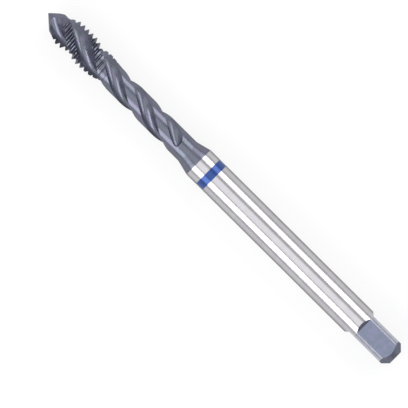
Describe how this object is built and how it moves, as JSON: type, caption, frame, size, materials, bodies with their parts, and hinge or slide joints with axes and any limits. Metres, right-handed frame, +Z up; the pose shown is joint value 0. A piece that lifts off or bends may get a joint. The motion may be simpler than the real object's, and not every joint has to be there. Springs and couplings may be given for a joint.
{
  "type": "thread tap",
  "caption": "Spiral-flute machine tap for metric threads: pointed cutting head with a short lead, slim neck, ground round shank with a painted ring, and a square drive end.",
  "frame": {"origin": "on the surface that the tap lies on, under the middle of its length", "axes": "+X along the tap's axis, from its point to its drive square; +Z up, away from that surface"},
  "size_m": [0.0856, 0.006, 0.006],
  "materials": {
    "tap_steel": "ground high speed steel, coated blue-grey from the point to the shoulder"
  },
  "bodies": {
    "root": {"tap": "tap_steel"}
  },
  "joints": []
}
